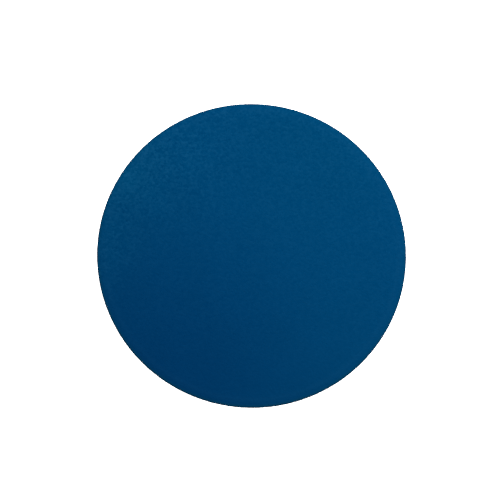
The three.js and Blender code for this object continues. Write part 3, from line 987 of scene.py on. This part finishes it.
def build_cage():
    """A cup in the well. Its plate guides the poppet, stops its lift and lets the air through."""
    outer = WELL_R - 0.3
    inner = outer - 1.2
    flange_z = TRAY_FLOOR_Z + TOUCH
    plate_top = CAGE_PLATE_Z + 1.3
    corners = [
        (0, CAGE_PLATE_Z, 0),
        (inner, CAGE_PLATE_Z, 0.4),
        (inner, CAGE_LOW.z, 0.15),
        (outer, CAGE_LOW.z, 0.2),
        (outer, flange_z, 0.1),
        (CAGE_HIGH.x, flange_z, 0.15),
        (CAGE_HIGH.x, CAGE_HIGH.z, 0.2),
        (inner, CAGE_HIGH.z, 0.2),
        (inner, plate_top, 0.1),
        (0, plate_top, 0),
    ]
    guide_hole = rod(PIN_R + 0.1, CAGE_PLATE_Z - 1, plate_top + 1, FINE_ROUND)
    air_hole = rod(AIR_BORE_R, CAGE_PLATE_Z - 1, plate_top + 1, FINE_ROUND)
    holes = together(guide_hole, at_each(air_hole, ring_of_places(inner * 0.6, 6)))
    mesh = joined(lathe(rounded(corners), CUP_ROUND), holes, "DIFFERENCE", "poppet_cage")
    piece("poppet_cage", mesh, "fitting_plastic", "housing", "valve_cage")


def build_poppet():
    """A soft disc over the stem's mouth, with a guide pin."""
    disc_r = POPPET_HIGH.x
    disc_top = CAGE_PLATE_Z - VALVE_TRAVEL - 0.1
    corners = [
        (0, POPPET_LOW.z, 0),
        (disc_r, POPPET_LOW.z, 0.15),
        (disc_r, disc_top - 0.2, 0.1),
        (disc_r - 0.2, disc_top, 0.1),
        (PIN_R, disc_top, 0.15),
        (PIN_R, POPPET_HIGH.z - 0.3, 0.1),
        (PIN_R - 0.3, POPPET_HIGH.z, 0.1),
        (0, POPPET_HIGH.z, 0),
    ]
    mesh = mesh_of(lathe(rounded(corners), SMALL_ROUND), "lift_poppet")
    piece("lift_poppet", mesh, "valve_rubber", "poppet", "valve_poppet")


build_stone()
build_bond()
build_tray()
build_shell()
build_screws()
build_cups()
build_elbow()
build_ring()
build_clip()
build_ballast()
build_cage()
build_poppet()


# ---------------------------------------------------------------- stage, lights and camera
def build_floor():
    """White paper. From straight above it is burnt out to pure white, and from the side it keeps its shadows.

    Its underside is clear, so that the object can be looked at from below.
    """
    mesh = bpy.data.meshes.new("floor")
    half = FLOOR_SIZE / 2
    z = -FLOOR_DROP * MM
    corners = [(-half, -half, z), (half, -half, z), (half, half, z), (-half, half, z)]
    mesh.from_pydata(corners, [], [(0, 1, 2, 3)])
    floor = bpy.data.objects.new("floor", mesh)
    bpy.context.scene.collection.objects.link(floor)
    s = Shader("white_paper")
    facing = s.add("ShaderNodeLayerWeight")
    s.put(facing, "Blend", 0.5)
    seen = s.add("ShaderNodeLightPath").outputs["Is Camera Ray"]
    glow = s.remap(facing.outputs["Facing"], 0.1, 0.35, FLOOR_BURN, FLOOR_LIFT)
    s.set(Base_Color=PAPER_WHITE, Roughness=0.9, Specular_IOR_Level=0.1)
    s.set(Emission_Color=WHITE, Emission_Strength=s.maths("MULTIPLY_ADD", glow, seen, FLOOR_GLOW))
    clear = s.add("ShaderNodeBsdfTransparent").outputs[0]
    either = s.add("ShaderNodeMixShader")
    s.put(either, 0, s.add("ShaderNodeNewGeometry").outputs["Backfacing"])
    s.put(either, 1, s.surface.outputs[0])
    s.put(either, 2, clear)
    s.put(s.tree.nodes["Material Output"], "Surface", either.outputs[0])
    mesh.materials.append(s.material)


def build_lights():
    """A plain white surround, and one soft lamp that the camera doesn't see."""
    world = bpy.data.worlds.new("studio")
    bpy.context.scene.world = world
    world.use_nodes = True
    tree = world.node_tree
    seen = tree.nodes.new("ShaderNodeLightPath").outputs["Is Camera Ray"]
    strength = tree.nodes.new("ShaderNodeMapRange")
    tree.links.new(seen, strength.inputs[0])
    strength.inputs[3].default_value = WORLD_LIGHT
    strength.inputs[4].default_value = BACKDROP_LIGHT
    background = tree.nodes["Background"]
    background.inputs["Color"].default_value = WHITE
    tree.links.new(strength.outputs[0], background.inputs["Strength"])
    key = bpy.data.lights.new("key", "AREA")
    key.shape = "DISK"
    key.size = KEY_SIZE
    key.energy = KEY_POWER
    lamp = bpy.data.objects.new("key", key)
    bpy.context.scene.collection.objects.link(lamp)
    turn, rise = math.radians(KEY_TURN), math.radians(KEY_RISE)
    direction = Vector((math.cos(turn) * math.cos(rise), math.sin(turn) * math.cos(rise), math.sin(rise)))
    target = Vector((0, 0, STONE_TOP * MM))
    lamp.location = target + direction * KEY_DISTANCE
    lamp.rotation_mode = "QUATERNION"
    lamp.rotation_quaternion = direction.to_track_quat("Z", "Y")
    lamp.visible_camera = False


def build_camera():
    """Nearly straight down, with a slight lean that makes the disc a little wider than it is tall."""
    data = bpy.data.cameras.new("camera")
    data.lens = CAMERA_LENS
    data.sensor_width = CAMERA_SENSOR
    camera = bpy.data.objects.new("camera", data)
    bpy.context.scene.collection.objects.link(camera)
    lean = math.radians(CAMERA_LEAN)
    distance = 2 * DISC_R * MM * CAMERA_LENS / CAMERA_SENSOR / DISC_SHARE
    back = Vector((0, -math.sin(lean), math.cos(lean)))
    turn = back.to_track_quat("Z", "Y").to_matrix().to_4x4()
    span = distance * CAMERA_SENSOR / CAMERA_LENS  # width of the picture at the disc
    turn = turn @ Matrix.Rotation(math.radians(CAMERA_ROLL), 4, "Z")
    aside = turn @ Vector((-OFFSET_RIGHT * span, OFFSET_DOWN * span, 0))
    target = Vector((0, 0, STONE_TOP * MM))
    camera.matrix_world = Matrix.Translation(target + aside + back * distance) @ turn
    bpy.context.scene.camera = camera


bpy.context.scene.view_settings.view_transform = "Standard"
build_floor()
build_lights()
build_camera()
